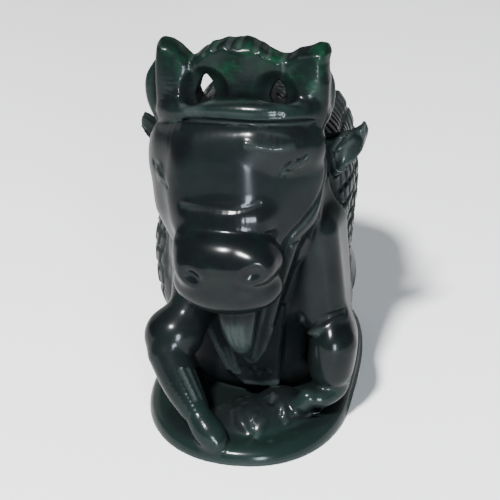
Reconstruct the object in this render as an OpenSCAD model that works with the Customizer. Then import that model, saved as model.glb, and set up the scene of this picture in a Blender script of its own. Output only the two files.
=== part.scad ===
// Recumbent horned beast carved from one piece of dark green jade.
// The beast faces -Y. Its own left side is +X. Millimetres, +Z up.
// The origin is the centre of the plinth's underside.
//
// Every node is one carved region of the same stone. Neighbouring regions
// are cut from each other, so they meet face to face and never overlap.

/* [Stone block] */
// Width of the block that the figure is cut from, across the ears
block_w = 54; // [48:1:60]
// Length of the block, which the plinth fills
block_l = 84; // [74:1:96]
// Height of the block, from the rest face to the top of the crest
block_h = 99; // [88:1:112]

/* [Plinth] */
// Width of the plinth at its widest place
plinth_w = 51; // [44:1:54]
// Height of the plinth's flat top
plinth_h = 4; // [3:0.5:6]
// Height of the rounded rim, taken from the plinth's height
rim_h = 1.2; // [0.6:0.2:1.6]

/* [Carving] */
// Width of the opening between the crest and each horn
eyelet_d = 3.6; // [2.6:0.2:4.4]
// Number of knobs along the spine
spine_knobs = 9; // [6:1:12]
// Facets round each rounded form
facets = 16; // [14:2:22]

/* [Hidden] */

LEFT = 1;
RIGHT = -1;

// Half of the block, and the length that a radius of 1 stands for.
half_w = block_w / 2;
half_l = block_l / 2;
unit = block_h / 100;

// The plinth's front lobe is half an ellipse. Its back lobe is longer and
// blunter, and blunt is the power that fills its corners out.
front_lobe = 0.39 * block_l;
back_lobe = block_l - front_lobe;
blunt = 0.62;
outline_steps = 72;
rim_steps = 3;

stone = [0.09, 0.15, 0.13];
stone_grey = [0.20, 0.26, 0.24];
stone_pale = [0.27, 0.36, 0.32];
stone_green = [0.05, 0.26, 0.14];
stone_base = [0.08, 0.20, 0.16];

// A ball placed by fractions of the block: x and y from the middle to a
// side, z from the rest face to the top. r is in hundredths of the height.
module ball(x, y, z, r) {
  translate([x * half_w, y * half_l, z * block_h])
    sphere(r = r * unit, $fn = facets);
}

// The rounded form between two balls.
module limb(a, b) {
  hull() {
    ball(a[0], a[1], a[2], a[3]);
    ball(b[0], b[1], b[2], b[3]);
  }
}

// A string of limbs through a list of balls.
module chain(balls) {
  for (i = [0:len(balls) - 2])
    limb(balls[i], balls[i + 1]);
}

// One rounded lump round a whole list of balls.
module lump(balls) {
  hull()
    for (b = balls)
      ball(b[0], b[1], b[2], b[3]);
}

// The same list of balls on both sides of the middle.
function both(balls) = concat(balls, [for (b = balls) [-b[0], b[1], b[2], b[3]]]);
function to_side(side, balls) = [for (b = balls) [side * b[0], b[1], b[2], b[3]]];

// Takes away whatever reaches into the plinth.
module under_plinth_top() {
  translate([-block_w, -block_l, -block_h])
    cube([2 * block_w, 2 * block_l, block_h + plinth_h]);
}

// ---- plinth and rock ----

function signed_pow(v, power) = sign(v) * pow(abs(v), power);

function outline(inset) = [
  for (i = [0:outline_steps - 1])
    let (
      a = 360 * i / outline_steps,
      front = sin(a) < 0,
      lobe = (front ? front_lobe : back_lobe) - inset,
      power = front ? 1 : blunt
    )
      [
        (plinth_w / 2 - inset) * signed_pow(cos(a), power),
        front_lobe - half_l + lobe * signed_pow(sin(a), power)
      ]
];

module plinth() {
  step = rim_h / rim_steps;
  color(stone_base) {
    linear_extrude(plinth_h - rim_h) polygon(outline(0));
    for (i = [1:rim_steps])
      translate([0, 0, plinth_h - rim_h + (i - 1) * step])
        linear_extrude(step)
          polygon(outline(rim_h * (1 - cos(90 * i / rim_steps)) + 0.01));
  }
}

module rockwork_form() {
  lump([[-0.08, -0.80, 0.06, 4], [0.24, -0.76, 0.06, 5], [0.30, -0.62, 0.10, 5], [0.05, -0.64, 0.12, 5]]);
  lump([[0.42, -0.62, 0.06, 4], [0.50, -0.50, 0.06, 4], [0.16, -0.52, 0.10, 5]]);
  limb([-0.12, -0.60, 0.08, 5], [0.10, -0.56, 0.10, 5]);
}

module rockwork() {
  color(stone) difference() {
    rockwork_form();
    chest_form();
    barrel_form();
    for (side = [LEFT, RIGHT])
      foreleg_set(side);
    dewlap_form();
    under_plinth_top();
  }
}

// ---- trunk ----

module barrel_form() {
  lump(both([
    [0.06, -0.14, 0.57, 17.4], [0.11, 0.49, 0.608, 17],
    [0.19, -0.06, 0.34, 17.6], [0.18, 0.49, 0.34, 17.4], [0.12, 0.46, 0.19, 16]
  ]));
}

module barrel() {
  color(stone) difference() {
    barrel_form();
    head_set();
    under_plinth_top();
  }
}

module spine_ridge_form() {
  arc = 118;
  for (i = [0:spine_knobs - 1]) {
    a = 20 + arc * i / (spine_knobs - 1);
    y = 0.30 - 0.66 * cos(a);
    z = 0.60 + 0.195 * pow(sin(a), 0.6);
    limb([0, y, z, 2.4], [0, y + 0.05, z - 0.03, 2.8]);
  }
}

module spine_ridge() {
  color(stone) difference() {
    spine_ridge_form();
    barrel_form();
    neck_form();
    head_set();
  }
}

module chest_form() {
  lump(both([[0.33, -0.33, 0.29, 11.3], [0.29, -0.31, 0.14, 11], [0.25, -0.29, 0.37, 10.6]]));
}

module chest() {
  color(stone) difference() {
    chest_form();
    barrel_form();
    head_set();
    under_plinth_top();
  }
}

module neck_form() {
  lump(both([[0.20, -0.20, 0.72, 12.5], [0.12, -0.02, 0.66, 14], [0.22, -0.30, 0.56, 12]]));
  chain([[0, -0.26, 0.80, 9], [0, -0.08, 0.74, 9]]);
}

module neck() {
  color(stone) difference() {
    neck_form();
    barrel_form();
    chest_form();
    head_set();
  }
}

module dewlap_form() {
  lump([[0.14, -0.46, 0.50, 7], [-0.14, -0.46, 0.50, 7], [0.03, -0.58, 0.31, 4.5], [0.04, -0.60, 0.20, 2.2]]);
  lump([[0.10, -0.40, 0.42, 8], [-0.10, -0.40, 0.42, 8], [0.03, -0.52, 0.22, 4]]);
}

module dewlap() {
  color(stone) difference() {
    dewlap_form();
    chest_form();
    barrel_form();
    neck_form();
    head_set();
    under_plinth_top();
  }
}

// ---- head ----

module skull_form() {
  lump(both([
    [0.40, -0.46, 0.665, 11], [0.42, -0.40, 0.78, 9.5], [0.30, -0.34, 0.82, 8],
    [0.30, -0.62, 0.79, 6.5], [0.34, -0.62, 0.67, 6.5], [0.22, -0.60, 0.56, 7.5]
  ]));
}

module brow_roll_form() {
  chain([
    [-0.60, -0.50, 0.825, 3], [-0.34, -0.60, 0.845, 3.6], [0, -0.64, 0.85, 3.8],
    [0.34, -0.60, 0.845, 3.6], [0.60, -0.50, 0.825, 3]
  ]);
}

module crest_form() {
  lump(both([[0.38, -0.42, 0.912, 2.6], [0.24, -0.42, 0.955, 3], [0.14, -0.40, 0.84, 5]]));
  lump(both([[0.11, -0.42, 0.97, 3], [0.16, -0.40, 0.84, 5]]));
}

module horn_form(side) {
  blade = [[0.46, -0.38, 0.84, 5], [0.50, -0.40, 0.912, 2.6], [0.62, -0.37, 0.935, 3], [0.70, -0.36, 0.80, 3.6]];
  tip = [[0.58, -0.38, 0.92, 3.4], [0.69, -0.37, 0.957, 1.6]];
  lobe = [[0.72, -0.35, 0.88, 2.8], [0.77, -0.33, 0.83, 3], [0.66, -0.34, 0.76, 3]];
  lump(to_side(side, blade));
  lump(to_side(side, tip));
  lump(to_side(side, lobe));
}

// The opening between the crest and a horn, wider at the front.
module eyelet(side) {
  x = side * 0.31 * half_w;
  z = 0.882 * block_h;
  translate([x, -0.42 * half_l, z])
    rotate([90, 0, 0]) {
      cylinder(d = eyelet_d, h = block_l, center = true, $fn = facets);
      cylinder(d1 = eyelet_d, d2 = 2.4 * eyelet_d, h = 8 * unit, $fn = facets);
    }
}

module ear_form(side) {
  leaf = [[0.74, -0.22, 0.735, 2], [0.80, -0.20, 0.665, 2], [0.95, -0.14, 0.755, 1.33], [0.88, -0.22, 0.67, 1.6]];
  root = [[0.62, -0.24, 0.72, 3.5], [0.80, -0.20, 0.71, 3]];
  lump(to_side(side, leaf));
  lump(to_side(side, root));
}

module muzzle_form() {
  lump(both([[0.16, -0.74, 0.535, 8.6], [0.15, -0.69, 0.47, 8.2], [0.12, -0.62, 0.55, 8]]));
}

module jaw_form() {
  lump(both([[0.12, -0.58, 0.47, 7.5], [0.06, -0.66, 0.40, 5], [0.14, -0.46, 0.52, 8]]));
}

module beard_form() {
  chain([[0, -0.70, 0.40, 4.6], [0.02, -0.72, 0.32, 3.8], [0.05, -0.70, 0.215, 1.8]]);
  lump([[0.08, -0.66, 0.39, 3.6], [-0.08, -0.66, 0.39, 3.6], [0.02, -0.68, 0.28, 3]]);
}

// Everything that belongs to the head, in one group for cutting.
module head_set() {
  skull_form();
  brow_roll_form();
  crest_form();
  muzzle_form();
  jaw_form();
  beard_form();
  for (side = [LEFT, RIGHT]) {
    horn_form(side);
    ear_form(side);
  }
}

module skull() {
  color(stone) difference() {
    skull_form();
    for (side = [LEFT, RIGHT])
      eyelet(side);
    brow_roll_form();
    crest_form();
  }
}

module brow_roll() {
  color(stone_grey) difference() {
    brow_roll_form();
    crest_form();
    for (side = [LEFT, RIGHT]) {
      horn_form(side);
      eyelet(side);
    }
  }
}

module crest() {
  color(stone_green) difference() {
    crest_form();
    for (side = [LEFT, RIGHT])
      eyelet(side);
  }
}

module horn(side) {
  color(stone_green) difference() {
    horn_form(side);
    skull_form();
    crest_form();
    brow_roll_form();
    eyelet(side);
  }
}

module ear(side) {
  color(stone_base) difference() {
    ear_form(side);
    skull_form();
    horn_form(side);
    barrel_form();
    neck_form();
  }
}

module muzzle() {
  color(stone_grey) difference() {
    muzzle_form();
    skull_form();
  }
}

module jaw() {
  color(stone_grey) difference() {
    jaw_form();
    muzzle_form();
    skull_form();
  }
}

module beard() {
  color(stone_pale) difference() {
    beard_form();
    jaw_form();
    muzzle_form();
    skull_form();
  }
}

// ---- forelegs: the left is folded under, the right steps forward ----

module shoulder_form(side) {
  lump(to_side(side, [
    [0.49, -0.28, 0.47, 9.5], [0.55, -0.34, 0.34, 9.5], [0.44, -0.10, 0.42, 11], [0.54, -0.16, 0.26, 9]
  ]));
}

module foreleg_form(side) {
  if (side == LEFT)
    lump([[0.62, -0.40, 0.27, 7.5], [0.68, -0.40, 0.18, 7], [0.52, -0.38, 0.33, 8]]);
  else
    lump([[-0.56, -0.64, 0.25, 6], [-0.52, -0.46, 0.33, 8], [-0.64, -0.54, 0.27, 6.5]]);
}

module shank_form(side) {
  if (side == LEFT)
    chain([[0.70, -0.46, 0.14, 6], [0.52, -0.56, 0.125, 5.4], [0.40, -0.62, 0.12, 4.6]]);
  else
    chain([[-0.58, -0.66, 0.22, 4.8], [-0.40, -0.78, 0.145, 4], [-0.26, -0.84, 0.10, 3.8]]);
}

module hoof_form(side) {
  if (side == LEFT)
    lump([[0.36, -0.64, 0.12, 4.6], [0.26, -0.66, 0.10, 4.4], [0.30, -0.66, 0.08, 4.6]]);
  else
    lump([[-0.22, -0.85, 0.085, 4], [-0.06, -0.90, 0.05, 3.4], [-0.22, -0.88, 0.05, 3.8]]);
}

// A whole foreleg, in one group for cutting.
module foreleg_set(side) {
  shoulder_form(side);
  foreleg_form(side);
  shank_form(side);
  hoof_form(side);
}

module trunk_set() {
  barrel_form();
  chest_form();
  neck_form();
  dewlap_form();
}

module shoulder(side) {
  color(stone) difference() {
    shoulder_form(side);
    trunk_set();
    head_set();
  }
}

module foreleg(side) {
  color(stone) difference() {
    foreleg_form(side);
    shoulder_form(side);
    trunk_set();
    head_set();
  }
}

module shank(side) {
  color(stone_grey) difference() {
    shank_form(side);
    foreleg_form(side);
    shoulder_form(side);
    trunk_set();
    under_plinth_top();
  }
}

module hoof(side) {
  color(stone) difference() {
    hoof_form(side);
    shank_form(side);
    foreleg_form(side);
    shoulder_form(side);
    trunk_set();
    under_plinth_top();
  }
}

// ---- hindquarters: both hind legs are folded against the belly ----

module haunch_form(side) {
  lump(to_side(side, [
    [0.44, 0.58, 0.40, 12], [0.48, 0.38, 0.34, 11], [0.58, 0.16, 0.22, 8.4], [0.50, 0.60, 0.22, 11]
  ]));
}

module hind_shank_form(side) {
  chain(to_side(side, [[0.66, 0.18, 0.15, 5.4], [0.62, 0.42, 0.13, 5.4], [0.56, 0.66, 0.11, 5.6]]));
}

module hind_foot_form(side) {
  chain(to_side(side, [[0.56, 0.66, 0.07, 4.4], [0.68, 0.36, 0.065, 4], [0.72, 0.10, 0.06, 4], [0.70, -0.06, 0.06, 4.2]]));
}

module haunch(side) {
  color(stone) difference() {
    haunch_form(side);
    barrel_form();
    shoulder_form(side);
    under_plinth_top();
  }
}

module hind_shank(side) {
  color(stone) difference() {
    hind_shank_form(side);
    haunch_form(side);
    barrel_form();
    foreleg_set(side);
    under_plinth_top();
  }
}

module hind_foot(side) {
  color(stone) difference() {
    hind_foot_form(side);
    hind_shank_form(side);
    haunch_form(side);
    barrel_form();
    foreleg_set(side);
    chest_form();
    under_plinth_top();
  }
}

// The tail comes down the rump and curls forward round the left haunch.
module tail_form() {
  chain([
    [0, 0.84, 0.60, 3.4], [0.06, 0.90, 0.48, 3.2], [0.38, 0.89, 0.36, 3],
    [0.70, 0.80, 0.28, 3], [0.85, 0.54, 0.22, 3], [0.83, 0.26, 0.18, 4]
  ]);
}

module tail() {
  color(stone_base) difference() {
    tail_form();
    barrel_form();
    haunch_form(LEFT);
    hind_shank_form(LEFT);
    spine_ridge_form();
  }
}

plinth();
rockwork();
barrel();
spine_ridge();
chest();
neck();
dewlap();
skull();
brow_roll();
crest();
horn(LEFT);  // horn_left
horn(RIGHT);  // horn_right
ear(LEFT);  // ear_left
ear(RIGHT);  // ear_right
muzzle();
jaw();
beard();
shoulder(LEFT);  // shoulder_left
shoulder(RIGHT);  // shoulder_right
foreleg(LEFT);  // foreleg_left
foreleg(RIGHT);  // foreleg_right
shank(LEFT);  // shank_left
shank(RIGHT);  // shank_right
hoof(LEFT);  // hoof_left
hoof(RIGHT);  // hoof_right
haunch(LEFT);  // haunch_left
haunch(RIGHT);  // haunch_right
hind_shank(LEFT);  // hind_shank_left
hind_shank(RIGHT);  // hind_shank_right
hind_foot(LEFT);  // hind_foot_left
hind_foot(RIGHT);  // hind_foot_right
tail();
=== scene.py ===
# %% [markdown]
# # A jade beast, cell by cell
#
# The real object is one stone: a horned beast lying on an oval plinth, ground
# and polished from dark green nephrite. A stone carver doesn't build it from
# parts, but takes material away until rounded masses remain that flow into
# each other, and then cuts lines and a coat of scales into them. This lesson
# works in the same two steps, with numbers in place of chisels.
#
# First comes the frame. It holds the design's solids, one for each carved
# region, and every place below is worked out from its size.

# %% Load the frame
import math

import bpy
import numpy as np
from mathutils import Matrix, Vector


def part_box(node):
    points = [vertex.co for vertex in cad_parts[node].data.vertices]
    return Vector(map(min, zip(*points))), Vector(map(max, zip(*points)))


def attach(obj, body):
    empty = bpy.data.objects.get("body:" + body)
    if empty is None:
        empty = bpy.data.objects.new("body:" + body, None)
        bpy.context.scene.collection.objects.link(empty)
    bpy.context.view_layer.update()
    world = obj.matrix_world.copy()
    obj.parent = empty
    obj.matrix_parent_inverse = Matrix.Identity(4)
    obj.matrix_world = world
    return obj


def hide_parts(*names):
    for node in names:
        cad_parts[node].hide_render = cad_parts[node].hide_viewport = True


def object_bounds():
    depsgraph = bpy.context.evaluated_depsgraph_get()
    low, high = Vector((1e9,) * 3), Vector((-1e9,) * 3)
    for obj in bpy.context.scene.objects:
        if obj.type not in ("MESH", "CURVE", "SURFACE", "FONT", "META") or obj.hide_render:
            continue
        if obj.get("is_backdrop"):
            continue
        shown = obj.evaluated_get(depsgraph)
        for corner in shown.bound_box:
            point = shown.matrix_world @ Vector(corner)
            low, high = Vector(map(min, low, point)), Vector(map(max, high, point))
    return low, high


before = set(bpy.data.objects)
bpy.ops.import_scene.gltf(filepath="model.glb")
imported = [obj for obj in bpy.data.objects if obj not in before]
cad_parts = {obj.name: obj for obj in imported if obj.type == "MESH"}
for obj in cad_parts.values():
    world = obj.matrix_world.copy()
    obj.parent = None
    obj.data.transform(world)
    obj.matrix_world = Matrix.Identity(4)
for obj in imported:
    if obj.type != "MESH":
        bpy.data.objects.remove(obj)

cad_low, cad_high = (np.array(corner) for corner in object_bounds())
REGIONS = list(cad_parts)
print(len(REGIONS), "carved regions in a block of", np.round((cad_high - cad_low) * 1000, 1), "mm")

# %% [markdown]
# A carver marks out the block with a grid before cutting. Here the grid's
# step is a hundredth of the block's height, close to a millimetre. Each place
# and radius below is counted in those steps: x from the middle to the beast's
# left, y from the middle to the back, and z up from the rest face.

# %% The carver's grid
STEP = (cad_high[2] - cad_low[2]) / 100
ORIGIN = np.array([(cad_low[0] + cad_high[0]) / 2, (cad_low[1] + cad_high[1]) / 2, cad_low[2]])
HALF_W = (cad_high[0] - cad_low[0]) / 2 / STEP
HALF_L = (cad_high[1] - cad_low[1]) / 2 / STEP


def node_box(node):
    """The lowest and highest corner of a region's solid, in grid steps."""
    return [(np.array(corner) - ORIGIN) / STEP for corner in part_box(node)]


print("one step is", round(STEP * 1000, 3), "mm; the block is", round(2 * HALF_W, 1), "by",
      round(2 * HALF_L, 1))

# %% [markdown]
# ## Digital clay
#
# A rounded mass is easy to describe by its distance: a number that says how
# far any point is from the surface, and is below zero inside. Two masses are
# joined by taking the smaller of their distances, and if the two numbers are
# blended where they are close, the joint becomes a soft fillet, just as a
# carver leaves it. Meshes joined by booleans would leave hard edges here, and
# metaballs can't be cut, so distances are the better clay.

# %% Distances that blend
FAR = 60.0


def smooth_min(a, b, blend):
    """The smaller of two distances, with a fillet of about this size."""
    reach = np.maximum(blend - np.abs(a - b), 0) / blend
    return np.minimum(a, b) - reach * reach * blend / 4


def smooth_max(a, b, blend):
    return -smooth_min(-a, -b, blend)


def smooth_step(low, high, value):
    t = np.clip((value - low) / (high - low), 0, 1)
    return t * t * (3 - 2 * t)


def turned(x, y, z, centre, turn):
    """Coordinates from a centre, in a frame turned by degrees about x, y and z."""
    px, py, pz = x - centre[0], y - centre[1], z - centre[2]
    ax, ay, az = (math.radians(-a) for a in turn)
    if az:
        px, py = px * math.cos(az) - py * math.sin(az), px * math.sin(az) + py * math.cos(az)
    if ay:
        px, pz = px * math.cos(ay) + pz * math.sin(ay), pz * math.cos(ay) - px * math.sin(ay)
    if ax:
        py, pz = py * math.cos(ax) - pz * math.sin(ax), py * math.sin(ax) + pz * math.cos(ax)
    return px, py, pz


# %% [markdown]
# Every form knows its own box, so that its distance is only worked out close
# to it. That keeps a figure of some two hundred forms quick to evaluate.

# %% The forms
class Form:
    """A shape with a distance function and the box that it fits in."""

    def __init__(self, low, high, distance):
        self.low, self.high = np.array(low, float), np.array(high, float)
        self.distance = distance


def ball(centre, radii, turn=(0, 0, 0)):
    """An ellipsoid, turned about its centre."""
    radii = np.array([radii] * 3 if np.isscalar(radii) else radii, float)
    reach = radii.max() if any(turn) else radii
    rx, ry, rz = radii

    def distance(x, y, z):
        px, py, pz = turned(x, y, z, centre, turn)
        near = np.sqrt((px / rx) ** 2 + (py / ry) ** 2 + (pz / rz) ** 2)
        slope = np.sqrt((px / rx ** 2) ** 2 + (py / ry ** 2) ** 2 + (pz / rz ** 2) ** 2)
        return near * (near - 1) / np.maximum(slope, 1e-4)

    return Form(np.array(centre) - reach, np.array(centre) + reach, distance)


def block(centre, halves, rounding, turn=(0, 0, 0)):
    """A box with rounded edges."""
    hx, hy, hz = (h - rounding for h in halves)
    reach = np.linalg.norm(halves) if any(turn) else np.array(halves)

    def distance(x, y, z):
        px, py, pz = turned(x, y, z, centre, turn)
        qx, qy, qz = np.abs(px) - hx, np.abs(py) - hy, np.abs(pz) - hz
        out = np.sqrt(np.maximum(qx, 0) ** 2 + np.maximum(qy, 0) ** 2 + np.maximum(qz, 0) ** 2)
        return out + np.minimum(np.maximum(np.maximum(qx, qy), qz), 0) - rounding

    return Form(np.array(centre) - reach, np.array(centre) + reach, distance)


def bone(a, b, radius_a, radius_b, flat=None):
    """A tapered rod with round ends. flat=(direction, factor) thins it along a direction."""
    a, b = np.array(a, float), np.array(b, float)
    along = b - a
    length2 = max(along @ along, 1e-9)

    def distance(x, y, z):
        px, py, pz = x - a[0], y - a[1], z - a[2]
        t = np.clip((px * along[0] + py * along[1] + pz * along[2]) / length2, 0, 1)
        qx, qy, qz = px - t * along[0], py - t * along[1], pz - t * along[2]
        squared = qx * qx + qy * qy + qz * qz
        thin = 1.0
        if flat is not None:
            n = np.array(flat[0], float) / np.linalg.norm(flat[0])
            thin = flat[1]
            squared = squared + (1 / thin ** 2 - 1) * (qx * n[0] + qy * n[1] + qz * n[2]) ** 2
        radius = radius_a + t * (radius_b - radius_a)
        far = np.sqrt(squared)
        return (far - radius) * (thin + (1 - thin) * smooth_step(0.6, 1.6, far / radius))

    low = np.minimum(a - radius_a, b - radius_b)
    high = np.maximum(a + radius_a, b + radius_b)
    return Form(low, high, distance)


def smooth_path(points, pieces=6):
    """A Catmull-Rom curve through points of any width, such as x, y, z, radius."""
    points = np.array(points, float)
    ends = np.vstack([2 * points[0] - points[1], points, 2 * points[-1] - points[-2]])
    out = []
    for p0, p1, p2, p3 in zip(ends[:-3], ends[1:-2], ends[2:-1], ends[3:]):
        for t in np.arange(pieces) / pieces:
            out.append(0.5 * (2 * p1 + (p2 - p0) * t + (2 * p0 - 5 * p1 + 4 * p2 - p3) * t ** 2
                              + (3 * p1 - p0 - 3 * p2 + p3) * t ** 3))
    return np.array(out + [points[-1]])


def rope(points, pieces=6, flat=None):
    """A curved rod through [x, y, z, radius] points."""
    path = smooth_path(points, pieces)
    bones = [bone(p[:3], q[:3], p[3], q[3], flat) for p, q in zip(path[:-1], path[1:])]

    def distance(x, y, z):
        near = bones[0].distance(x, y, z)
        for one in bones[1:]:
            near = np.minimum(near, one.distance(x, y, z))
        return near

    return Form(np.min([b.low for b in bones], 0), np.max([b.high for b in bones], 0), distance)


def line(*points, pieces=6):
    """A thin curve through [x, y, z] points, for engraving."""
    return rope([(*p, 0.1) for p in points], pieces)


def facet(point, normal, low, high):
    """Everything outside a plane, within a box. Cutting it away leaves a flat, as a grinder does."""
    n = np.array(normal, float) / np.linalg.norm(normal)

    def distance(x, y, z):
        return -((x - point[0]) * n[0] + (y - point[1]) * n[1] + (z - point[2]) * n[2])

    return Form(low, high, distance)


def slab(outline, front, back, rounding):
    """An outline in x and z, given in order, with a thickness from front to back and rounded edges."""
    outline = np.array(outline, float)
    half, middle = (back - front) / 2, (back + front) / 2

    def distance(x, y, z):
        square, inside = None, False
        for (ax, az), (bx, bz) in zip(outline, np.roll(outline, -1, 0)):
            ex, ez, px, pz = bx - ax, bz - az, x - ax, z - az
            t = np.clip((px * ex + pz * ez) / (ex * ex + ez * ez), 0, 1)
            far = (px - t * ex) ** 2 + (pz - t * ez) ** 2
            square = far if square is None else np.minimum(square, far)
            inside = inside ^ (((az > z) != (bz > z)) & (px < ex * pz / (ez or 1e-9)))
        flat = np.where(inside, -1, 1) * np.sqrt(square) + rounding
        deep = np.abs(y - middle) - half + rounding
        outside = np.sqrt(np.maximum(flat, 0) ** 2 + np.maximum(deep, 0) ** 2)
        return outside + np.minimum(np.maximum(flat, deep), 0) - rounding

    (low_x, low_z), (high_x, high_z) = outline.min(0), outline.max(0)
    return Form((low_x, front, low_z), (high_x, back, high_z), distance)


print("forms: ball, block, bone, rope, facet and slab")

# %% [markdown]
# The clay keeps its forms in order. `add` joins a form, `cut` takes one away,
# and `engrave` moves the surface in along a line by a soft, shallow furrow, or
# out if the depth is below zero. Each added form names the region it belongs
# to. At any point inside the stone, the region is that of the form that holds
# the point deepest, so two regions meet in the crease between their masses.

# %% The clay
class Clay:
    def __init__(self):
        self.steps = []

    def add(self, region, form, blend=1.5):
        self.steps.append(("add", region, form, blend))

    def cut(self, form, blend=0.6):
        self.steps.append(("cut", None, form, blend))

    def engrave(self, form, depth, width):
        self.steps.append(("engrave", None, form, (depth, width)))

    def chase(self, form):
        """Moves the surface in by what the form's function gives, which may be a whole pattern."""
        self.steps.append(("chase", None, form, 0))

    @staticmethod
    def window(form, reach, x, y, z):
        """The part of a grid, or of a list of points, that is near a form."""
        low, high = form.low - reach, form.high + reach
        if x.ndim == 3:
            cuts = [slice(*np.searchsorted(axis.ravel(), (low[i], high[i])))
                    for i, axis in enumerate((x, y, z))]
            return tuple(cuts), x[cuts[0]], y[:, cuts[1]], z[:, :, cuts[2]]
        near = (x > low[0]) & (x < high[0]) & (y > low[1]) & (y < high[1]) & (z > low[2]) & (z < high[2])
        near = np.flatnonzero(near)
        return near, x[near], y[near], z[near]

    def measure(self, x, y, z, regions=False):
        """Distances of points or of an open grid, and if asked, their regions, counted from 1."""
        shape = np.broadcast(x, y, z).shape
        total = np.full(shape, FAR, np.float32)
        if regions:
            deepest = np.full(shape, FAR, np.float32)
            region_of = np.zeros(shape, np.int8)
        for action, region, form, size in self.steps:
            reaches = {"engrave": 3 * np.max(size), "add": 3 + np.max(size), "cut": 1 + np.max(size)}
            reach = reaches.get(action, 0)
            near, nx, ny, nz = self.window(form, reach, x, y, z)
            if not np.size(total[near]):
                continue
            here = form.distance(nx, ny, nz).astype(np.float32)
            if action == "add":
                total[near] = smooth_min(total[near], here, size)
                if regions:
                    closer = here < deepest[near]
                    deepest[near] = np.where(closer, here, deepest[near])
                    region_of[near] = np.where(closer, REGIONS.index(region) + 1, region_of[near])
            elif action == "cut":
                total[near] = smooth_max(total[near], -here, size)
            elif action == "chase":
                total[near] += here
            else:
                depth, width = size
                total[near] += depth * np.exp(-np.maximum(here, 0) ** 2 / width ** 2)
        return (total, region_of) if regions else total

    def slope(self, points, gap=0.12):
        """The gradient of the distance at a list of points, and the distance there."""
        x, y, z = points.T
        here = self.measure(x, y, z)
        ahead = [self.measure(x + gap * (i == 0), y + gap * (i == 1), z + gap * (i == 2)) for i in range(3)]
        return np.stack([(far - here) / gap for far in ahead], 1), here


clay = Clay()
print("the clay is ready for", len(REGIONS), "regions")

# %% [markdown]
# ## The head
#
# The head is the largest mass and looks down at the viewer. Its face is one
# broad, nearly flat plane from the brow to the end of the nose, with a plane
# on each side for the eye. So a rounded skull is made first, and three flats
# are ground onto it, as they would be on a wheel.

# %% Skull
HEAD_X = -1.8
FACE_LOW, FACE_HIGH = (-26, -50, 42), (22, -14, 86)

clay.add("skull", ball((HEAD_X, -17.5, 70.5), (20.6, 14, 13.6)))
clay.add("skull", ball((HEAD_X, -19, 67), (20.4, 15.6, 17)), 3)
clay.add("skull", ball((-14.6, -17, 70), (9.2, 9, 11)), 3)
clay.add("skull", block((HEAD_X - 0.4, -26, 66.5), (13.5, 9.5, 13), 7), 4)
clay.add("skull", bone((HEAD_X, -26, 64), (HEAD_X, -27, 52), 13, 9.5), 5)
for side in (-1, 1):
    clay.add("skull", bone((HEAD_X + 10.4 * side, -20, 60), (HEAD_X + 6 * side, -24, 50), 9.4, 7), 3)
clay.add("skull", rope([(-16.4, -19.6, 73, 5.4), (-10, -24.2, 76, 6.2), (-1, -25.4, 77.4, 6.6),
                        (7, -25, 77.4, 6.4),
                        (13.4, -21.4, 76, 5.4)]), 3)
clay.cut(facet((-5, -33.8, 68), (-0.05, -0.985, 0.16), FACE_LOW, FACE_HIGH), 2.5)
clay.cut(facet((5, -33.6, 68), (0.60, -0.78, 0.18), FACE_LOW, FACE_HIGH), 3)
clay.cut(facet((-15.4, -33, 68), (-0.80, -0.58, 0.10), FACE_LOW, FACE_HIGH), 5)
clay.add("skull", rope([(5, -26.6, 78.8, 4), (10.4, -25, 78.2, 4.8), (14.6, -20.8, 76.8, 4.4)]), 3)
print("skull:", len(clay.steps), "steps so far")

# %% [markdown]
# Below the horns a thick roll of hide runs across the forehead, and a softer
# bulge of brow lies under it. The line between them is engraved, and so are
# the finer wrinkles. A small bulge ends the nose above the muzzle's crease.

# %% Brow, roll and nose
clay.add("brow_roll", rope([(-19.6, -16, 80.4, 2.3), (-15, -20.6, 82.4, 2.7), (-8, -24, 84.6, 3),
                            (0, -25.3, 85.4, 3.2),
                            (8, -24.6, 85.4, 3), (13.6, -21.4, 84.8, 2.6), (17.4, -16, 83, 2.1)]), 1.5)
clay.engrave(line((-18.4, -18.4, 78.6), (-13.4, -23.6, 81.2), (-9.9, -26.2, 82.6), (-3.8, -27.6, 83.6),
                  (2, -27.9, 83.9), (7.6, -27.3, 83.9), (12.8, -25, 83.6), (16.4, -21, 83)), 0.8, 0.7)
for depth, width, wrinkle in (
    (0.2, 0.5, [(-13.7, -24, 85.1), (-6, -26.4, 87.5), (0.9, -26.5, 88.4), (8.7, -25.1, 88.3),
                (15, -22.5, 87)]),
    (0.2, 0.5, [(-12.1, -25.5, 83.9), (-4.5, -28, 85.6), (2.5, -28.4, 86), (10.2, -26.8, 86.2)]),
    (-0.35, 0.6, [(5.6, -28.6, 82.4), (11, -27.8, 81.4), (14.4, -26.2, 79.4)]),
    (-0.3, 0.7, [(3, -31.4, 80.4), (9, -30.6, 79.2), (13, -28.4, 79.6)]),
    (0.3, 0.6, [(-11.5, -34.1, 64.8), (-5.4, -35, 65.1), (1.6, -35.2, 65.6), (6.5, -33, 66.6)]),
):
    clay.engrave(line(*wrinkle), depth, width)
clay.add("skull", rope([(-8.4, -32.2, 61, 2.6), (-1.4, -33.1, 61.8, 3.2), (5.2, -32, 62.2, 2.6)]), 4)
clay.engrave(line((-13, -33.4, 56), (-6.5, -35.4, 58), (-0.6, -36, 58.8), (5.1, -35.2, 59.2),
                  (9.6, -32, 58.6)), 0.9, 0.9)
print("brow, roll and nose:", len(clay.steps), "steps so far")

# %% [markdown]
# The eyes are almonds on the side planes: a shallow ring round a slightly
# raised ball, with a fold of brow above.

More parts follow.
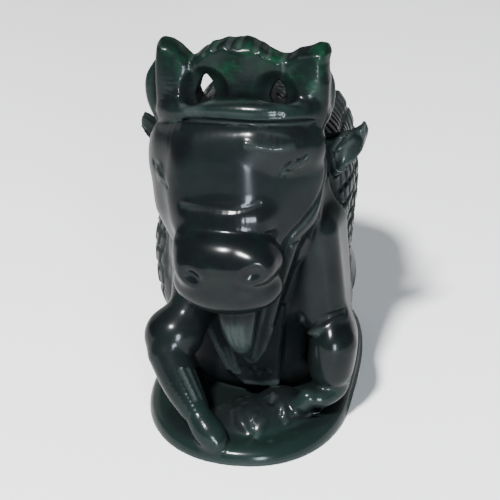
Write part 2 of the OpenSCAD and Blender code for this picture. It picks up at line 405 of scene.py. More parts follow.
# %% Eyes
def eye(inner, middle, outer, outward):
    """An almond eye through three points, on a plane that faces outward."""
    inner, middle, outer, out = (np.array(v, float) for v in (inner, middle, outer, outward))
    across = np.cross(outer - inner, out)
    up = across / np.linalg.norm(across)
    up *= np.sign(up[2])
    lid = [inner, middle + 1.5 * up + 0.1 * out, outer]
    under = [inner, middle - 1.4 * up + 0.1 * out, outer]
    for rim in (lid, under):
        clay.engrave(line(*rim), 0.6, 0.42)
    clay.engrave(ball(middle - 0.4 * out, 0.9), -0.55, 1.0)


eye((10.6, -28.6, 72.2), (13.2, -27.6, 74.2), (15.8, -26, 76.2), (0.5, -0.85, 0.1))
eye((-16.2, -30.4, 67.6), (-19, -26.6, 69.1), (-21.2, -23.2, 70.2), (-0.8, -0.58, 0.1))
print("eyes:", len(clay.steps), "steps so far")

# %% [markdown]
# The muzzle is a ball that a crease sets off from the nose, with dimples for
# nostrils and a smooth pad below. The jaw tucks in behind it, and a tuft of
# beard hangs in front of the keel of loose skin at the throat.

# %% Muzzle, jaw and beard
clay.add("muzzle", ball((-0.8, -34, 53), (13, 9, 7)), 1.0)
clay.add("muzzle", ball((-0.8, -33.4, 46), (13, 9, 7.6), (-6, 0, 0)), 2.5)
clay.add("muzzle", ball((-1.6, -34.8, 56.4), (11.4, 6, 4.2)), 2.5)
for side in (-1, 1):
    clay.add("muzzle", ball((-0.4 + 7 * side, -38.6, 52.6 + 1.1 * side), (4.4, 3.6, 4)), 2.5)
    clay.cut(ball((-0.2 + 7.4 * side, -43, 52.2 + 1.1 * side), (2, 1.8, 1.3), (0, -25 * side, 0)), 2)
clay.add("jaw", ball((HEAD_X + 1.2, -22.5, 46.6), (11.4, 9, 9)), 2)
clay.add("jaw", bone((HEAD_X + 1.4, -26, 42), (HEAD_X + 2.2, -28, 37), 6, 4.6), 2)
clay.add("beard", rope([(1, -31.4, 39.5, 5), (1.2, -32.4, 34.4, 4.4), (1.8, -31.8, 29.4, 3.2),
                        (2.4, -30.2, 25.4, 1.6)], 6,
                       ((0, 1, 0), 0.8)), 1)
for shift in (-3.2, -1.6, 0, 1.6, 3.2):
    clay.engrave(line((1 + 1.2 * shift, -36, 38.5), (1.3 + shift, -35.8, 33), (2 + 0.5 * shift, -33.6, 27)),
                 0.5, 0.4)
print("muzzle, jaw and beard:", len(clay.steps), "steps so far")

# %% [markdown]
# ## The crown
#
# The horns and the crest between them were sawn as one upright wall with a
# wavy top, pierced by two eyelets at the foot, and each eyelet has a dished
# hollow in front. A slab with that outline is the honest start.

# %% Crest and horns
CREST = [(-12.4, 80), (-12.3, 94.3), (-10.4, 96.2), (-8.2, 98), (-6.4, 98.6), (-4.4, 99.4), (-2.4, 99.2),
         (-0.4, 99.9),
         (1.8, 99.4), (4, 98.5), (5.9, 97.3), (9, 96), (8.8, 80)]
HORN_L = [(8.6, 80), (8.8, 95.6), (10.2, 96.4), (12, 97.7), (14.7, 98.2), (16.5, 99), (18.3, 98.8),
          (18.6, 97.8), (18, 96),
          (18.4, 93.6), (19.2, 91), (19.2, 86), (17.6, 80)]
HORN_R = [(-12.2, 80), (-12.8, 93.7), (-14.2, 94.8), (-15.8, 96.1), (-17.8, 97.2), (-19.9, 97.5),
          (-20.5, 96.3), (-20.7, 93),
          (-20.8, 88), (-20.2, 80)]
clay.add("crest", slab(CREST, -20, -13.6, 1.6), 0.8)
clay.add("horn_left", slab(HORN_L, -19.6, -12.6, 1.6), 1.6)
clay.add("horn_right", slab(HORN_R, -19.6, -12.6, 1.6), 1.6)
clay.add("crest", rope([(-3, -15.4, 84, 5), (-2, -16.6, 90, 4), (-1, -17, 96, 2.6)]), 3)
clay.add("horn_left", rope([(13.6, -17, 83, 4.6), (14.6, -17, 90, 3.6), (16.4, -16, 95.4, 2.2),
                            (17.4, -15.6, 97.4, 1.4)]), 3)
clay.add("horn_right", rope([(-15.6, -17, 83, 4.6), (-16.4, -17, 90, 3.6), (-18, -16, 94.4, 2.4),
                             (-19, -15.6, 96, 1.4)]), 3)
clay.cut(facet((0, -18.9, 99.2), (0.03, -0.62, 0.79), (-13, -22, 90), (10, -10, 102)), 0.8)
clay.cut(facet((16, -18.4, 98.9), (0.05, -0.5, 0.86), (9, -22, 92), (21, -10, 102)), 0.8)
for x, z in ((-9.3, 97.4), (-6.9, 98.8), (-3.6, 99.6), (-1.2, 99.8), (2.7, 99.2), (5.4, 98)):
    clay.engrave(bone((x, -19.6, z - 0.9), (x + 0.3, -13, z + 0.6), 0.1, 0.1), 0.38, 0.5)
clay.engrave(line((-12.4, -20.4, 94.6), (-11, -20.4, 92), (-10.2, -20, 90.4)), 0.5, 0.45)
clay.engrave(line((8.8, -20.2, 96), (9.6, -20.2, 93), (9.4, -20, 91)), 0.5, 0.45)
clay.add("horn_right", rope([(-21.4, -13.6, 90.6, 1.5), (-22.7, -13.2, 86.6, 2.2), (-22.2, -13.2, 82, 2.5),
                             (-20.4, -13.4, 77, 2.2)]), 0.8)
clay.add("horn_left", rope([(16.8, -12.4, 92.4, 1.4), (17.8, -12, 88.4, 2), (17.6, -12.6, 83.6, 2.2),
                            (16.6, -14, 79, 1.8)]), 0.8)

HOLE_L = [(7.9, 91), (6.6, 89.2), (6, 87.2), (6.6, 85.2), (8, 84.4), (9.3, 85.4), (9.7, 87.4), (9, 89.4)]
HOLE_R = [(-9.2, 91.2), (-10.8, 88.6), (-11.4, 86.2), (-10.6, 84), (-9.2, 83.2), (-7.8, 84.2), (-7.1, 86.6),
          (-7.8, 89.2)]
clay.cut(ball((-8.8, -21.4, 88), (5.2, 3.6, 5.4)), 1.2)
clay.cut(ball((7.6, -21.2, 88.4), (4.6, 3.2, 5)), 1.2)
clay.cut(slab(HOLE_L, -22.5, 2, 0.4), 0.6)
clay.cut(slab(HOLE_R, -22.5, 2, 0.4), 0.6)
print("crest and horns:", len(clay.steps), "steps so far")

# %% [markdown]
# The ears stand out behind the horns. Each is a leaf with a rounded back, a
# dished hollow in front and a rim. The right one hangs a little lower.

# %% Ears
EAR = [(15, 73.5), (18.7, 74.3), (22, 75.6), (25, 77.6), (26.7, 78.6), (27.1, 75.4), (26.2, 71.4),
       (24.8, 68.2), (22.4, 66),
       (20, 64.7), (16.6, 63)]
for side, name, drop, dish_x, dish_width in ((1, "ear_left", 0, 23.6, 3.1),
                                             (-1, "ear_right", 2.4, 24.9, 1.7)):
    clay.add(name, slab([(side * x, z - drop) for x, z in EAR], -12, -7.8, 1.2), 0.8)
    clay.add(name, rope([(side * 16.4, -8.6, 70 - drop, 4), (side * 20, -8.2, 70.6 - drop, 3.8),
                         (side * 23.4, -8.4, 72.6 - drop, 2.6),
                         (side * 26, -9, 76.4 - drop, 1.3)], 6, ((0.3 * side, -1, 0), 0.9)), 1.5)
    clay.cut(ball((side * dish_x, -13.4, 71.4 - drop), (dish_width, 3.8, 5.8), (0, 24 * side, 0)), 0.35)
    clay.engrave(line((side * 17.6, -12.2, 73 - drop), (side * 21, -12.6, 74.6 - drop),
                      (side * 26, -12.2, 77.6 - drop)), 0.8, 0.5)
print("ears:", len(clay.steps), "steps so far")

# %% [markdown]
# ## The trunk
#
# The beast lies with its legs folded, so its barrel is a tall rounded block.
# The neck, the keel of the dewlap and the chest fill the space between the
# forelegs.

# %% Barrel, neck and chest
clay.add("barrel", block((-0.6, 6, 48), (20, 25.6, 30), 15), 2)
clay.add("barrel", ball((-0.5, 20, 50), (20.6, 17.6, 27.6)), 8)
clay.add("barrel", ball((-0.5, 1, 58), (23.6, 19, 20)), 5)
clay.add("barrel", ball((-2.8, 1, 40), (24, 16, 22)), 5)
clay.add("barrel", ball((-10.4, -2, 27), (15, 12, 13)), 4)
clay.add("barrel", ball((-8.6, -2.4, 35), (17, 12, 17)), 4)
clay.add("barrel", block((0, 10, 14), (15.5, 24, 12), 8), 6)
clay.add("neck", bone((HEAD_X + 1, -11, 70), (0, 0, 62), 13.4, 17), 3)
clay.add("neck", ball((0, -11, 58), (17.6, 11, 15)), 3)
clay.add("chest", bone((0, -8, 42), (0, 0, 18), 13, 13), 3)
clay.add("chest", ball((0, -4, 12), (16, 14, 11)), 3)
DEWLAP = [(14.4, 54), (11.4, 42.7), (8.7, 30.5), (6.9, 24.4), (4.6, 20.6), (2.6, 20.2), (0.9, 22.4),
          (-3.7, 31.6), (-7.4, 40),
          (-12, 54)]
APRON = [(-12.6, 33), (-9.8, 25), (-7.2, 18.5), (-4.6, 13), (-1, 9.4), (4.6, 9.6), (8.8, 10.6), (9.3, 21),
         (10.6, 33)]
clay.add("dewlap", slab(DEWLAP, -27.6, -12, 1.4), 0.8)
clay.add("chest", slab(APRON, -20, -8, 1), 0.6)
clay.engrave(line((8.7, -27.4, 30.5), (6.9, -27.4, 24.4), (4.6, -27.4, 20.8), (2.6, -27.4, 20.4),
                  (0.9, -27.4, 22.4), (-3.7, -27.4, 31.6)), -0.5, 0.6)
clay.engrave(line((6.5, -27.6, 37.2), (5, -27.6, 28.8), (4, -27.6, 22.3)), -0.5, 0.5)
clay.engrave(line((-12, -20, 31.6), (-9.4, -20, 25), (-6.8, -20, 18.5), (-4.4, -20, 13.4)), -0.6, 0.6)
for dx in (0, 1, 2):
    clay.engrave(line((-5.6 + dx, -20, 18 + dx), (-4.2 + 0.8 * dx, -20, 14.4 + 0.6 * dx),
                      (-2.4 + 0.5 * dx, -20.2, 12.4)), -0.5, 0.35)
clay.engrave(line((0.4, -20, 9.4), (4.6, -20, 9.6), (8.6, -20, 10.6)), -0.6, 0.6)
clay.engrave(line((18.1, -20.3, 58.8), (15.5, -18.6, 49.7), (13.2, -18.9, 42.8), (11.4, -19.3, 34.5),
                  (9.6, -19, 27)), 0.8, 0.6)
clay.engrave(line((19, -17, 75), (19.2, -18.4, 69), (18.6, -21, 64.6), (15.6, -25.4, 59.8),
                  (12.2, -28.2, 55.8), (10, -27.4, 51)), 1.2, 0.7)
print("barrel, neck and chest:", len(clay.steps), "steps so far")

# %% [markdown]
# The right foreleg steps forward, and the left one is folded so that its
# shank lies across the front.

# %% Forelegs
clay.add("shoulder_left", block((17.4, -10.4, 40), (6, 8.4, 16), 5, (0, -7, 0)), 5)
clay.add("foreleg_left", ball((21.6, -14.6, 20), (5.2, 8.8, 11)), 3)
clay.add("foreleg_left", block((21.4, -15, 19.4), (5.2, 8.2, 8.4), 5, (0, 8, 12)), 3)
clay.add("shank_left", rope([(24, -13, 12, 2.2), (23.4, -18.4, 10.6, 2.6), (20.6, -22.4, 9.8, 2.6),
                             (18.2, -23.6, 10, 2.4)]), 1.6)
clay.add("hoof_left", rope([(17, -24, 10.2, 2.5), (15.8, -24.4, 8.4, 2.5)]), 0.8)
clay.engrave(line((14.6, -19.4, 25.3), (18.7, -20.4, 27.5), (23.6, -17.5, 29)), -1, 0.9)
clay.engrave(line((18.5, -19.9, 29.5), (21.3, -18.8, 30.9), (24, -16.1, 31.1)), 0.8, 0.7)
clay.engrave(line((13.8, -18.2, 29), (14.2, -19, 26.6)), -0.5, 0.5)
clay.add("shoulder_right", bone((-12, -10, 46), (-12.4, -17, 36), 7.6, 6), 4)
clay.add("foreleg_right", bone((-12.4, -20, 32.4), (-14.8, -24, 26), 5.2, 5.8), 3)
clay.add("foreleg_right", ball((-16.8, -25, 24.2), (7, 6.8, 7.4)), 2)
clay.add("shank_right", rope([(-17, -28.4, 21.4, 5.2), (-13.2, -32, 15.4, 4.6),
                              (-9.4, -34.8, 10.6, 3.7)]), 1)
clay.add("hoof_right", rope([(-7.4, -36.4, 8.6, 3.3), (-5, -38, 6.4, 3.8), (-3, -39, 4.6, 3.2)]), 0.6)
for a, b in (((-12.6, -34, 20.6), (-8.6, -36.6, 14)), ((-11, -33, 20), (-7, -35.4, 14.2)),
             ((-10.6, -31, 19), (-6.4, -33.6, 12.8))):
    clay.engrave(bone(a, b, 0.1, 0.1), 0.35, 0.35)
print("forelegs:", len(clay.steps), "steps so far")

# %% [markdown]
# The hindquarters fold under the barrel: haunch, shank and foot on each side.
# The tail comes down the rump and curls round onto the left haunch, and a row
# of knobs runs along the spine.

# %% Hindquarters
for side, name in ((-1, "right"), (1, "left")):
    clay.add("haunch_" + name, ball((9.8 * side, 20, 32), (9.4, 16, 17), (12, 0, 0)), 4)
    clay.add("haunch_" + name, ball((15.6 * side, 7, 22), (7.2, 9.4, 9)), 4)
    clay.add("haunch_" + name, ball((12 * side, 26, 18), (9, 10, 12)), 4)
    clay.add("hind_shank_" + name, rope([(17 * side, 5, 14.4, 5), (15 * side, 17, 12.4, 5),
                                         (13.4 * side, 28.4, 10.4, 5.4)]), 1)
    clay.add("hind_foot_" + name, rope([(13.4 * side, 28.6, 6.4, 4.2), (16 * side, 16, 6.2, 3.8),
                                        (18 * side, 5, 5.8, 3.8),
                                        (17.6 * side, -3.4, 6, 4)]), 0.7)
    for toe in (-1.5, 1.4):
        clay.engrave(bone((18.4 * side + toe, -9, 4), (18.6 * side + toe, -3.6, 10.4), 0.1, 0.1), 0.6, 0.45)
    clay.engrave(line((20 * side, 22, 44), (21.6 * side, 10, 38), (22.8 * side, 0, 28)), 0.7, 0.9)
clay.add("tail", rope([(0, 37, 60, 3.4), (1.6, 39, 49, 3.2), (7.6, 37.6, 38, 3), (13.4, 33, 29.4, 3),
                       (17, 23.6, 23.6, 2.7)]), 1)
clay.add("tail", rope([(17, 24, 23.4, 2.8), (18, 17, 20.6, 3.1), (19.2, 10.4, 18.4, 2.9),
                       (20.6, 6, 17.6, 1.3)]), 1)
for turn in range(7):
    x, y, z = smooth_path([(0, 40.6, 58), (1.6, 42.4, 49), (8.6, 41, 38), (15.8, 35.6, 29.4),
                           (19.8, 24, 23.4)], 2)[turn + 1]
    clay.engrave(bone((x - 2, y - 3.4, z + 1), (x + 2, y + 1, z - 1), 0.1, 0.1), 0.5, 0.5)
for lift in (-1.6, 0, 1.6):
    clay.engrave(line((19.4, 21, 22 + lift), (21.2, 15, 19.8 + lift), (21.8, 10, 18.6 + lift),
                      (21.6, 5, 17.6)),
                 0.45, 0.4)
clay.add("spine_ridge", rope([(0, 2, 79, 1.6), (0, 12, 78, 2.2), (0, 24, 76, 2.2), (0, 32, 71, 2),
                              (0, 36.6, 64, 1.6)]), 2)
for number in range(9):
    knob = smooth_path([(0, 3, 80.4), (0, 13, 80), (0, 23, 78), (0, 31.6, 72.6), (0, 37.4, 64)],
                       10)[4 * number + 2]
    clay.add("spine_ridge", ball(knob, (1.8, 2, 1.7)), 0.8)
print("hindquarters:", len(clay.steps), "steps so far")

# %% [markdown]
# The coat is cut last, as staggered rows of plates. The rows run round the
# barrel, so they are counted by the angle about its middle.

# %% Scales
def scales(pitch, width, depth):
    """Rounded plates in staggered rows round the barrel, and nothing in front of the shoulder's edge."""

    def distance(x, y, z):
        angle = np.arctan2(x, z - 47)
        row = 21.5 * angle / pitch
        shift = 0.5 * (np.floor(row) % 2)
        down = row - np.floor(row)
        along = y / width + shift
        side = along - np.floor(along) - 0.5
        rim = np.maximum(np.abs(side) * 2, np.abs(down - 0.5) * 2)
        edge = np.where(x < 0, -10.0, -4 - 0.3 * (z - 45))
        behind = smooth_step(edge - 0.6, edge + 0.6, y)
        inside = behind * smooth_step(1.9, 2.8, np.abs(x)) * smooth_step(24, 28, z)
        return depth * inside * smooth_step(0.55, 1.0, rim)

    return Form((-28, -15, 22), (26, 40, 82), distance)


clay.chase(scales(3.7, 2.9, 0.62))
clay.engrave(line((16.4, -13.4, 76), (18.6, -12, 68), (20.4, -8.4, 58), (22, -5, 48), (23, -2.4, 38)),
             0.9, 0.7)
clay.engrave(line((-17.6, -11, 79), (-19, -11.4, 66), (-20.4, -11.6, 54), (-21.4, -12, 44), (-22, -12, 34)),
             0.9, 0.7)
print("scales:", len(clay.steps), "steps so far")

# %% [markdown]
# The plinth is a rounded slab, blunter at the back than in front. A mound of
# rockwork lies between the forelegs, with raised veins and random strands.

# %% Plinth and rockwork
PLINTH_LOW, PLINTH_HIGH = node_box("plinth")
LOBE_Y = PLINTH_LOW[1] + 0.39 * 2 * HALF_L


def plinth_form():
    half_w = (PLINTH_HIGH[0] - PLINTH_LOW[0]) / 2
    top = PLINTH_HIGH[2]

    def distance(x, y, z):
        front = y < LOBE_Y
        lobe = np.where(front, LOBE_Y - PLINTH_LOW[1], PLINTH_HIGH[1] - LOBE_Y)
        power = np.where(front, np.where(x > 0, 2.3, 2.1), 3.2)
        px, py = np.abs(x) / half_w, np.abs(y - LOBE_Y) / lobe
        norm = np.maximum((px ** power + py ** power), 1e-6) ** (1 / power)
        side = np.sqrt(x ** 2 + (y - LOBE_Y) ** 2) * (1 - 1 / norm)
        return smooth_max(smooth_max(side, z - top - 0.2, 4), -z, 0.6)

    return Form(PLINTH_LOW, PLINTH_HIGH + 0.4, distance)


clay.add("plinth", plinth_form(), 1.2)
clay.add("rockwork", ball((3, -27, 4), (9, 7.4, 5)), 2)
clay.add("rockwork", ball((10, -22, 4), (7, 7, 6)), 2)
for vein in ([(0.5, -29.6, 8, 0.2), (2.2, -32.7, 6.2, 0.3), (4.2, -34.1, 4.4, 0.2)],
             [(7.4, -31.3, 6.6, 0.2), (6.4, -34, 4.3, 0.4), (5, -38, 3.6, 0.2)],
             [(9, -24, 8.8, 0.3), (11.4, -27, 7.4, 0.3), (12.4, -28.6, 5.2, 0.3)],
             [(13.4, -27, 6.6, 0.2), (16.5, -25, 5.4, 0.3), (20.7, -24.4, 6.6, 0.2)]):
    clay.add("rockwork", rope(vein), 1.6)
chance = np.random.default_rng(7)
for strand in range(40):
    x, y = chance.uniform(-6, 11), chance.uniform(-33, -20)
    z = 8 + 0.34 * (y + 33)
    dx, dz = chance.uniform(-2.6, 2.6), chance.uniform(2.4, 5)
    clay.engrave(line((x - dx, y - 4, z - dz), (x + 0.5, y - 1, z), (x + dx, y + 3.4, z + 0.7 * dz),
                      pieces=3),
                 chance.uniform(-0.35, 0.5), 0.5)
clay.cut(facet((0, 0, 0), (0, 0, -1), (-30, -46, -12), (30, 46, 2)), 0.05)
print(len(clay.steps), "steps of clay work")

# %% [markdown]
# ## From clay to meshes
#
# The clay is only numbers, so a mesh is laid over it. A grid of points is
# asked for its region, with 0 for the air, and wherever two neighbouring
# points differ a face goes between them. Faces against the air are the
# polished surface, and faces between two regions are the walls inside the
# stone, so each region becomes a closed solid that fits its neighbours
# exactly. Blender's remesh could skin one region at a time, but then two
# neighbours would never share the same edge.

# %% Skin
PITCH = 0.52


def grid_axes(pitch):
    low, high = (cad_low - ORIGIN) / STEP - 3, (cad_high - ORIGIN) / STEP + 3
    return [np.arange(low[i], high[i] + pitch, pitch, dtype=np.float32) for i in range(3)]


def lay_faces(total, region_of, axes):
    """The faces between regions, one for each grid edge that joins two, and the cells' mean crossings."""
    cells = np.array(region_of.shape) - 1
    corner_ids, crossings, pairs = [], [], []
    for axis in range(3):
        across, upward = (axis + 1) % 3, (axis + 2) % 3
        before, after = ([slice(None)] * 3 for _ in range(2))
        before[axis], after[axis] = slice(None, -1), slice(1, None)
        a, b = region_of[tuple(before)], region_of[tuple(after)]
        start = np.stack(np.nonzero(a != b), 1)
        a, b = a[tuple(start.T)], b[tuple(start.T)]
        end = start + np.eye(3, dtype=int)[axis]
        depth_a, depth_b = total[tuple(start.T)], total[tuple(end.T)]
        drop = np.where(depth_a == depth_b, 1, depth_a - depth_b)
        share = np.where((a == 0) | (b == 0), depth_a / drop, 0.5)
        crossing = start.astype(np.float64)
        crossing[:, axis] += np.clip(share, 0, 1)
        ring = []
        for du, dv in ((-1, -1), (0, -1), (0, 0), (-1, 0)):
            cell = start.copy()
            cell[:, across] += du
            cell[:, upward] += dv
            ring.append(np.ravel_multi_index(tuple(cell.T), tuple(cells)))
        corner_ids.append(np.stack(ring, 1))
        crossings.append(crossing)
        pairs.append(np.stack([a, b], 1))
    corner_ids, crossings, pairs = (np.concatenate(part) for part in (corner_ids, crossings, pairs))
    _, quads = np.unique(corner_ids, return_inverse=True)
    quads = quads.reshape(-1, 4)
    count = np.bincount(quads.ravel())
    points = [np.bincount(quads.ravel(), np.repeat(crossings[:, i], 4)) / count for i in range(3)]
    points = np.stack([axis[0] + PITCH * p for axis, p in zip(axes, points)], 1)
    return points, quads, pairs


axes = grid_axes(PITCH)
x_axis, y_axis, z_axis = axes
total, region_of = clay.measure(x_axis[:, None, None], y_axis[None, :, None], z_axis[None, None, :], True)
region_of[total > 0] = 0
points, quads, pairs = lay_faces(total, region_of, axes)
print("grid", total.shape, "->", len(points), "points,", len(quads), "faces")

# %% [markdown]
# The first skin is a little bumpy, as its points sit near the middle of their
# cells. Each point is eased towards its neighbours, and then moved along the
# clay's slope until the distance there is zero. Points on a seam between two
# regions are eased along the seam only, so seams are smooth lines too.

# %% Ease and settle
def edges_of(faces):
    pairs_of = np.concatenate([faces[:, [i, (i + 1) % 4]] for i in range(4)])
    return np.unique(np.sort(pairs_of, 1), axis=0)


def neighbour_mean(places, edges, count):
    both = np.concatenate([edges, edges[:, ::-1]])
    number = np.bincount(both[:, 0], minlength=count)
    mean = [np.bincount(both[:, 0], places[both[:, 1], i], minlength=count) / np.maximum(number, 1)
            for i in range(3)]
    return np.stack(mean, 1), number > 0


def settle(places, moving, rounds=2):
    """Moves points onto the surface, and gives the outward directions and the slope's size there."""
    outward, size = np.zeros_like(places), np.ones(len(places))
    for _ in range(rounds):
        slope, here = clay.slope(places[moving])
        steep = np.maximum((slope ** 2).sum(1), 0.05)
        shift = -np.clip(here / steep, -PITCH, PITCH)[:, None] * slope
        places[moving] += shift
        outward[moving] = slope / np.sqrt(steep)[:, None]
        size[moving] = np.sqrt(steep)
    return outward, size


on_air = (pairs == 0).any(1)
skin_edges, wall_edges = edges_of(quads[on_air]), edges_of(quads[~on_air])
on_skin = np.zeros(len(points), bool)
on_skin[quads[on_air]] = True
on_wall = np.zeros(len(points), bool)
on_wall[quads[~on_air]] = True
both_kinds, times = np.unique(np.concatenate([skin_edges, wall_edges]), axis=0, return_counts=True)
seam_edges = both_kinds[times == 2]
for _ in range(4):
    for edges, who in ((skin_edges, on_skin & ~on_wall), (wall_edges, on_wall & ~on_skin),
                       (seam_edges, on_skin & on_wall)):
        mean, known = neighbour_mean(points, edges, len(points))
        who = who & known
        points[who] += 0.5 * (mean[who] - points[who])
outward, slope_size = settle(points, on_skin)
print(int(on_skin.sum()), "points on the surface,", int((on_skin & on_wall).sum()), "of them on seams")

# %% [markdown]
# Four numbers are kept at each point for the finish: how thin the stone is
# there, how much the point stands on a ridge, how deep it sits in a furrow,
# and how closed in it is, which is where shade gets painted. They come from the
# clay too: a step inwards or outwards changes the distance by less than a step
# where the surface bends.

# %% Thinness, ridges, furrows and painted shade
def probe(depth, evened=1.0):
    """The distance a step outwards from each surface point, or inwards if depth is below zero."""
    moved = points[on_skin] + depth * outward[on_skin]
    return clay.measure(*moved.T) / (1 - evened + evened * slope_size[on_skin])


marks = {name: np.zeros(len(points), np.float32) for name in ("thin", "ridge", "furrow", "painted_shade")}
# The thin mark also says where a glow of light through the stone gets painted.
marks["thin"][on_skin] = smooth_step(-3.5, 0.5, probe(-7.0))
# The ridge mark also says where a pale sheen gets painted.
marks["ridge"][on_skin] = smooth_step(0.1, 0.75, probe(-1.3) + 1.3)
marks["furrow"][on_skin] = smooth_step(0.04, 0.5, 0.9 - probe(0.9))
# This mark is painted shade: points that the stone closes in, found by how open the surface is a few steps
# out, are given a dark, dull finish.
marks["painted_shade"][on_skin] = smooth_step(0.12, 0.62,
                                        1 - 0.5 * (probe(4.5, 0.6) / 4.5 + probe(10.0, 0.3) / 10))
# The recess under the chest, between the forelegs, is marked whole, so shade is painted over all of it.
recess = ball((-1, -17, 16), (15, 19, 26)).distance(*points[on_skin].T)
marks["painted_shade"][on_skin] = np.maximum(marks["painted_shade"][on_skin], smooth_step(1.5, -1.5, recess))
print({name: round(float(mark[on_skin].mean()), 3) for name, mark in marks.items()})

# %% [markdown]
# Each region becomes a mesh of its own, which rides on the stone's only body
# and stands for the solid of the same name.

# %% Meshes
def mesh_of(region):
    """A closed mesh of one region, with the clay's own slope as its shading direction."""
    mine, theirs = quads[pairs[:, 0] == region], quads[pairs[:, 1] == region]
    faces = np.concatenate([mine, theirs[:, ::-1]])
    used, corners = np.unique(faces, return_inverse=True)
    mesh = bpy.data.meshes.new(REGIONS[region - 1] + "_stone")
    mesh.vertices.add(len(used))
    mesh.vertices.foreach_set("co", (ORIGIN + STEP * points[used]).astype(np.float32).ravel())
    mesh.loops.add(faces.size)
    mesh.loops.foreach_set("vertex_index", corners.astype(np.int32).ravel())
    mesh.polygons.add(len(faces))
    mesh.polygons.foreach_set("loop_start", np.arange(0, faces.size, 4, dtype=np.int32))
    mesh.update(calc_edges=True)
    mesh.validate()
    mesh.shade_smooth()
    mesh.normals_split_custom_set_from_vertices(outward[used].astype(np.float32))
    for name, mark in marks.items():
        mesh.attributes.new(name, "FLOAT", "POINT").data.foreach_set("value", mark[used])
    return mesh


def stone_piece(region, material):
    name = REGIONS[region - 1]
    piece = bpy.data.objects.new(name + "_stone", mesh_of(region))
    bpy.context.scene.collection.objects.link(piece)
    piece.data.materials.append(material)
    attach(piece, "root")
    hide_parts(name)
    return piece


# %% [markdown]
# ## The finish
#
# Polished nephrite looks nearly black until light catches it. Its colour is a
# cloudy dark green. Where the stone is thin a brighter green is painted in, as
# the glow of light through it, and ridges get a paler colour painted in as a
# sheen. Its polish is bright on the masses and duller in the furrows. In the
# recesses shade is painted in, as a darker finish with little polish. The
# material is written as arithmetic on sockets, through one small class.

# %% Shader arithmetic
class Wire:
    """A socket that can be used in Python arithmetic. Each operation adds a Math node."""

    def __init__(self, graph, socket):
        self.graph, self.socket = graph, socket

    def math(self, operation, *values, clamp=False):
        settings = {"operation": operation, "use_clamp": clamp}
        return self.graph.node("ShaderNodeMath", settings, dict(enumerate(values)))

    def __add__(self, other):
        return self.math("ADD", self, other)

    def __sub__(self, other):
        return self.math("SUBTRACT", self, other)

    def __rsub__(self, other):
        return self.math("SUBTRACT", other, self)

    def __mul__(self, other):
        return self.math("MULTIPLY", self, other)

    def __truediv__(self, other):
        return self.math("DIVIDE", self, other)

    def __pow__(self, other):
        return self.math("POWER", self, other)

    __radd__, __rmul__ = __add__, __mul__

    def clamped(self):
        return self.math("ADD", self, 0.0, clamp=True)


class Graph:
    """A material's nodes."""

    def __init__(self, name):
        self.material = bpy.data.materials.new(name)
        self.material.use_nodes = True
        self.tree = self.material.node_tree
        self.tree.nodes.clear()

    def node(self, kind, settings=None, inputs=None, output=0):
        """Adds a node, sets its settings, then its sockets by name or number, and gives an output."""
        made = self.tree.nodes.new(kind)
        for key, value in (settings or {}).items():
            setattr(made, key, value)
        for key, value in (inputs or {}).items():
            socket = made.inputs[key]
            if isinstance(value, Wire):
                self.tree.links.new(value.socket, socket)
            else:
                socket.default_value = value
        return Wire(self, made.outputs[output]) if len(made.outputs) else made

    def noise(self, where, scale, detail=4.0, roughness=0.5, output="Fac"):
        inputs = {"Vector": where, "Scale": scale, "Detail": detail, "Roughness": roughness}
        return self.node("ShaderNodeTexNoise", None, inputs, output)

    def mix(self, factor, a, b):
        """A colour between a and b."""
        inputs = {"Factor": factor, 6: a, 7: b}
        return self.node("ShaderNodeMix", {"data_type": "RGBA"}, inputs, 2)

    def band(self, value, low, high):
        """0 below low, 1 above high and smooth between."""
        inputs = {"Value": value, 1: low, 2: high}
        return self.node("ShaderNodeMapRange", {"interpolation_type": "SMOOTHSTEP"}, inputs)

    def mark(self, name):
        return self.node("ShaderNodeAttribute", {"attribute_name": name}, None, "Fac")


print("shader arithmetic is ready")

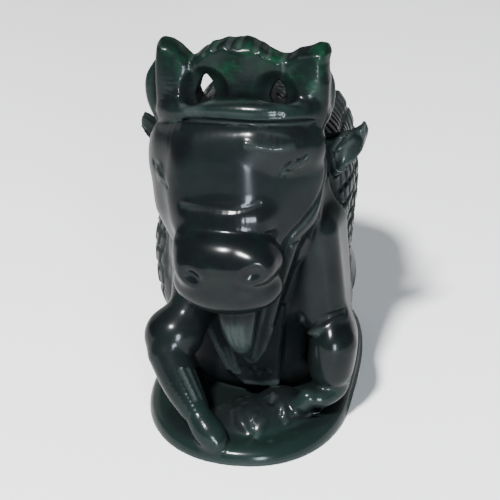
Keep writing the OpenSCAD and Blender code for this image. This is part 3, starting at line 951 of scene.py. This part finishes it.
# %% Jade
def jade():
    g = Graph("dark_green_jade")
    where = g.node("ShaderNodeTexCoord", None, None, "Object")
    thin, ridge, furrow, painted_shade = (g.mark(name) for name in ("thin", "ridge", "furrow", "painted_shade"))
    height = g.node("ShaderNodeSeparateXYZ", None, {0: where}, "Z")

    clouds = g.band(g.noise(where, 0.045 / STEP, 5.0, 0.6), 0.38, 0.68)
    veins = g.band(g.noise(where, 0.16 / STEP, 6.0, 0.65), 0.45, 0.75)
    crown = g.band(height, 84 * STEP, 93 * STEP)

    body = g.mix(clouds, (0.0016, 0.0022, 0.0026, 1), (0.0038, 0.0056, 0.0055, 1))
    body = g.mix(veins * 0.5, body, (0.0024, 0.0060, 0.0046, 1))
    # Painted glow: where the stone is thin, a brighter green stands in for light shining through it. Green
    # veins are also mixed in on the crown.
    body = g.mix((thin * 0.12 + crown * veins * 0.7).clamped(), body, (0.002, 0.022, 0.010, 1))
    body = g.mix(thin * (1 - crown) * 0.35, body, (0.007, 0.0125, 0.0120, 1))
    # Painted sheen: ridges get a paler colour, standing in for grazing light along the edges.
    body = g.mix(ridge * 0.4, body, (0.024, 0.032, 0.030, 1))
    body = g.mix(furrow * (1 - painted_shade) * 0.35, body, (0.028, 0.034, 0.032, 1))

    smear = g.noise(where, 0.22 / STEP, 3.0, 0.5)
    rough = (0.36 + smear * 0.1 + furrow * 0.25).clamped()
    grain = g.noise(where, 1.4 / STEP, 4.0, 0.6)
    waves = g.noise(where, 0.12 / STEP, 2.0, 0.4)
    bump = g.node("ShaderNodeBump", None, {"Strength": 0.25, "Distance": 0.25 * STEP,
                                           "Height": waves * 0.8 + grain * 0.12})

    polished = g.node("ShaderNodeBsdfPrincipled", None, {
        "Base Color": body, "Roughness": rough, "Normal": bump, "IOR": 1.08,
        "Coat Weight": (0.25 - furrow * 0.14 - crown * 0.09).clamped(),
        "Coat Roughness": 0.17, "Coat IOR": 1.45,
    })
    # Painted shade: in closed-in recesses a darker, dull finish with little reflection is mixed in.
    hollow = g.node("ShaderNodeBsdfPrincipled", None, {
        "Base Color": g.mix(0.35, (0.0014, 0.0020, 0.0024, 1),
                            body), "Roughness": 0.7, "Specular IOR Level": 0.06, "Normal": bump,
    })
    shader = g.node("ShaderNodeMixShader", None, {0: (painted_shade * 0.92).clamped(), 1: polished, 2: hollow})
    g.node("ShaderNodeOutputMaterial", None, {"Surface": shader})
    return g.material


stone = jade()
pieces = [stone_piece(number + 1, stone) for number in range(len(REGIONS))]
print(len(pieces), "pieces,", sum(len(p.data.polygons) for p in pieces), "faces; largest",
      max((len(p.data.polygons), p.name) for p in pieces))

# %% [markdown]
# ## Floor, light and camera
#
# The floor is pale and plain. A dark polished stone shows little but
# reflections, so each light has its own task: a small lamp above draws the
# sparkle, a small window draws the strip down the face's edge, and two soft
# panels behind the figure light the rims of its flanks.

# %% Stage
from mathutils import Vector


def plain(name, colour, rough):
    g = Graph(name)
    shader = g.node("ShaderNodeBsdfPrincipled", None, {"Base Color": (*colour, 1), "Roughness": rough})
    g.node("ShaderNodeOutputMaterial", None, {"Surface": shader})
    return g.material


def floor():
    size = 3.0
    corners = [(-size, -size, 0), (size, -size, 0), (size, size, 0), (-size, size, 0)]
    mesh = bpy.data.meshes.new("floor")
    mesh.from_pydata(corners, [], [(0, 1, 2, 3)])
    made = bpy.data.objects.new("floor", mesh)
    made.location.z = ORIGIN[2]
    bpy.context.scene.collection.objects.link(made)
    mesh.materials.append(plain("pale_floor", (0.8, 0.8, 0.8), 0.6))
    made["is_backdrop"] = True


floor()
world = bpy.data.worlds.new("studio")
world.use_nodes = True
world.node_tree.nodes["Background"].inputs["Color"].default_value = (0.92, 0.96, 1.0, 1)
world.node_tree.nodes["Background"].inputs["Strength"].default_value = 0.2
bpy.context.scene.world = world
centre = ORIGIN + STEP * np.array([0, 0, 50])


def towards(azimuth, elevation):
    """The direction from the figure to a viewer, with 0 in front and +90 at its left side."""
    a, e = math.radians(azimuth), math.radians(elevation)
    return np.array([math.sin(a) * math.cos(e), -math.cos(a) * math.cos(e), math.sin(e)])


def aim(item, target):
    item.rotation_euler = Vector(target - np.array(item.location)).to_track_quat("-Z", "Y").to_euler()


def lamp(name, kind, azimuth, elevation, distance, power, **settings):
    light = bpy.data.lights.new(name, kind)
    light.energy = power
    for key, value in settings.items():
        setattr(light, key, value)
    item = bpy.data.objects.new(name, light)
    item.location = centre + distance * towards(azimuth, elevation)
    aim(item, centre)
    item.visible_camera = False
    bpy.context.scene.collection.objects.link(item)


lamp("ceiling_lamp", "SPOT", -10, 50, 1.1, 200, shadow_soft_size=0.06, spot_size=math.radians(60),
     spot_blend=1.0)
lamp("window", "AREA", 24, 8, 0.8, 11, shape="RECTANGLE", size=0.14, size_y=0.24, color=(0.8, 0.9, 1))
lamp("panel_right", "AREA", 154, 14, 0.9, 0.75, shape="RECTANGLE", size=0.6, size_y=0.45)
lamp("panel_left", "AREA", -130, 14, 0.9, 1.1, shape="RECTANGLE", size=0.6, size_y=0.45)

# %% Camera
VIEW_AZIMUTH, VIEW_ELEVATION, VIEW_DISTANCE, LENS = 12.0, 28.0, 404.0 * STEP, 114.696


def place_camera():
    camera = bpy.data.cameras.new("view")
    camera.sensor_width = 36
    camera.lens = LENS
    item = bpy.data.objects.new("view", camera)
    back = towards(VIEW_AZIMUTH, VIEW_ELEVATION)
    right = np.array([math.cos(math.radians(VIEW_AZIMUTH)), math.sin(math.radians(VIEW_AZIMUTH)), 0])
    target = ORIGIN + STEP * np.array([0, 0, 36.9]) - 2.65 * STEP * right
    item.location = target + VIEW_DISTANCE * back
    aim(item, target)
    bpy.context.scene.collection.objects.link(item)
    bpy.context.scene.camera = item


place_camera()
